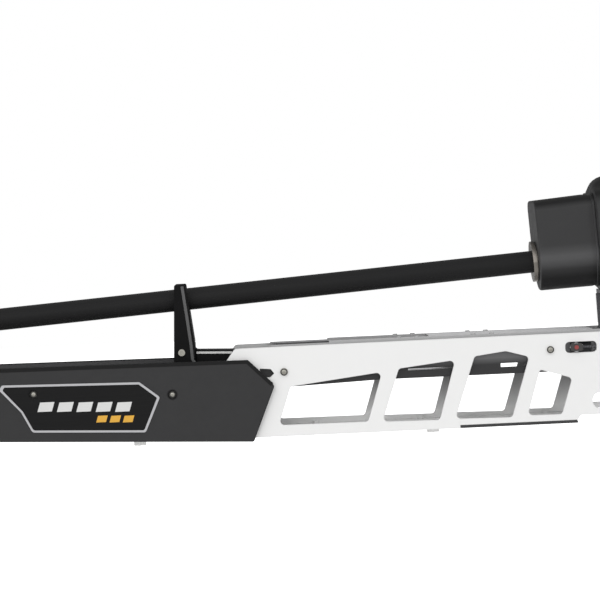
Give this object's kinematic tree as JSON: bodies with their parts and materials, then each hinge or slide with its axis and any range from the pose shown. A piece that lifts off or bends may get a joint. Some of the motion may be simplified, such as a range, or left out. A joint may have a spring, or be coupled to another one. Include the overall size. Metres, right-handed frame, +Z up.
{
  "type": "bow-mount trolling motor",
  "caption": "Electric outboard on a folding bow mount, stowed flat: windowed side rails, swinging arm, steering housing, shaft, lower unit with propeller and control head.",
  "frame": {"origin": "on the deck plane, midway between the side rails, directly below the arm pivot", "axes": "+X towards the stern along the side rails, +Y to the boat's port side across the mount, +Z up from the deck"},
  "size_m": [1.6393, 0.356, 0.3277],
  "materials": {
    "painted_rail": "white powder coat",
    "satin_metal": "brushed satin",
    "black_paint": "satin black powder coat",
    "black_plastic": "fine moulded texture",
    "badge_dark": "brushed dark film",
    "stainless": "brushed",
    "chrome_rod": "polished",
    "rubber_black": "matt",
    "bronze": "turned",
    "natural_nylon": "smooth",
    "red_plastic": "moulded",
    "shaft_composite": "smooth pultruded",
    "head_shell": "satin moulded",
    "circuit_board": "solder mask",
    "black_cast": "satin black paint",
    "dark_iron": "raw",
    "copper_winding": "enamelled windings",
    "brush_board": "phenolic",
    "prop_plastic": "satin moulded"
  },
  "bodies": {
    "base": {"side_rails": "painted_rail", "floor_plate": "painted_rail", "floor_screws": "stainless", "mounting_pads": "rubber_black", "deck_spacers": "natural_nylon", "side_covers": "black_plastic", "badge_frames": "satin_metal", "badge_panels": "badge_dark", "side_screws": "stainless", "nose_block": "black_plastic", "fork_bracket": "black_paint", "rest_fork": "black_plastic", "rest_pads": "rubber_black", "fork_bolt": "stainless", "pivot_bolts": "stainless", "link_bracket": "black_paint", "link_pin": "stainless", "spring_anchor": "black_paint", "wear_pads": "natural_nylon"},
    "latch": {"latch_bar": "stainless", "latch_grips": "black_plastic", "latch_flags": "red_plastic", "latch_spring": "stainless"},
    "arm": {"arm_plates": "black_paint", "arm_cap": "satin_metal", "cap_bolts": "stainless", "pivot_bushes": "bronze", "hinge_pin": "stainless"},
    "link": {"tie_link": "black_paint"},
    "spring_tube": {"gas_cylinder": "black_paint"},
    "spring_rod": {"gas_rod": "chrome_rod"},
    "housing": {"gear_barrel": "black_plastic", "main_housing": "black_plastic", "housing_cap": "black_plastic", "hinge_bracket": "black_paint", "shaft_bushing": "bronze", "housing_screws": "stainless", "cable_gland": "black_plastic", "steering_motor": "dark_iron"},
    "pinion": {"servo_pinion": "bronze"},
    "rotor": {"steering_tube": "natural_nylon", "depth_collar": "black_plastic"},
    "knob": {"collar_knob": "black_plastic"},
    "column": {"shaft": "shaft_composite", "head_base": "black_plastic", "head_cover": "head_shell", "head_board": "circuit_board", "coil_cord": "rubber_black", "motor_housing": "black_cast", "nose_cone": "black_cast", "tail_housing": "black_cast", "skeg": "black_cast", "magnets": "dark_iron", "brush_plate": "brush_board", "motor_bearings": "stainless"},
    "power_key": {"power_button": "red_plastic"},
    "test_key": {"test_button": "black_plastic"},
    "screw": {"armature": "copper_winding", "propeller": "prop_plastic", "prop_nut": "stainless"}
  },
  "joints": [
    {"name": "deploy", "type": "hinge", "parent": "base", "child": "arm", "pos_m": [0, 0, 0.088], "axis": [0, -1, 0], "range_deg": [0, 180]},
    {"name": "housing_tilt", "type": "hinge", "parent": "arm", "child": "housing", "pos_m": [0.45, 0, 0.088], "axis": [0, -1, 0], "range_deg": [-95, 0]},
    {"name": "link_swing", "type": "hinge", "parent": "base", "child": "link", "pos_m": [0, 0.0317, 0.096], "axis": [0, -1, 0], "range_deg": [0, 180]},
    {"name": "spring_pivot", "type": "hinge", "parent": "arm", "child": "spring_tube", "pos_m": [-0.0297, -0.024, 0.0838], "axis": [0, -1, 0], "range_deg": [-183, 0]},
    {"name": "spring_stroke", "type": "slide", "parent": "spring_tube", "child": "spring_rod", "axis": [1, 0, 0], "range_m": [-0.0593, 0]},
    {"name": "latch_slide", "type": "slide", "parent": "base", "child": "latch", "axis": [1, 0, 0], "range_m": [0, 0.014], "deforming": ["latch_spring"]},
    {"name": "steer", "type": "hinge", "parent": "housing", "child": "rotor", "pos_m": [0, 0, 0.193], "axis": [0.998, 0, 0.0628], "range_deg": [-180, 180]},
    {"name": "pinion_spin", "type": "hinge", "parent": "housing", "child": "pinion", "pos_m": [0.44284, 0, 0.25718], "axis": [0.998, 0, 0.0628], "range_deg": [-541, 541]},
    {"name": "knob_turn", "type": "hinge", "parent": "rotor", "child": "knob", "pos_m": [0.56836, 0, 0.26884], "axis": [-0.0628, 0, 0.998], "range_deg": [0, 360]},
    {"name": "depth", "type": "slide", "parent": "rotor", "child": "column", "axis": [-0.998, 0, -0.0628], "range_m": [0, 0.1], "stiffness_N_per_m": 1500, "deforming": ["coil_cord"]},
    {"name": "power_press", "type": "slide", "parent": "column", "child": "power_key", "axis": [-0.998, 0, -0.0628], "range_m": [0, 0.002]},
    {"name": "test_press", "type": "slide", "parent": "column", "child": "test_key", "axis": [-0.998, 0, -0.0628], "range_m": [0, 0.002]},
    {"name": "prop_spin", "type": "hinge", "parent": "column", "child": "screw", "pos_m": [-0.65071, 0, 0.15206], "axis": [0, -1, 0], "continuous": true}
  ],
  "couplings": [
    {"joint": "housing_tilt", "follows": "deploy", "ratio": -0.52},
    {"joint": "link_swing", "follows": "deploy", "ratio": 0.98159},
    {"joint": "spring_pivot", "follows": "deploy", "ratio": -1.0131},
    {"joint": "spring_stroke", "follows": "deploy", "m_per_rad": -0.018844},
    {"joint": "pinion_spin", "follows": "steer", "ratio": -3}
  ]
}
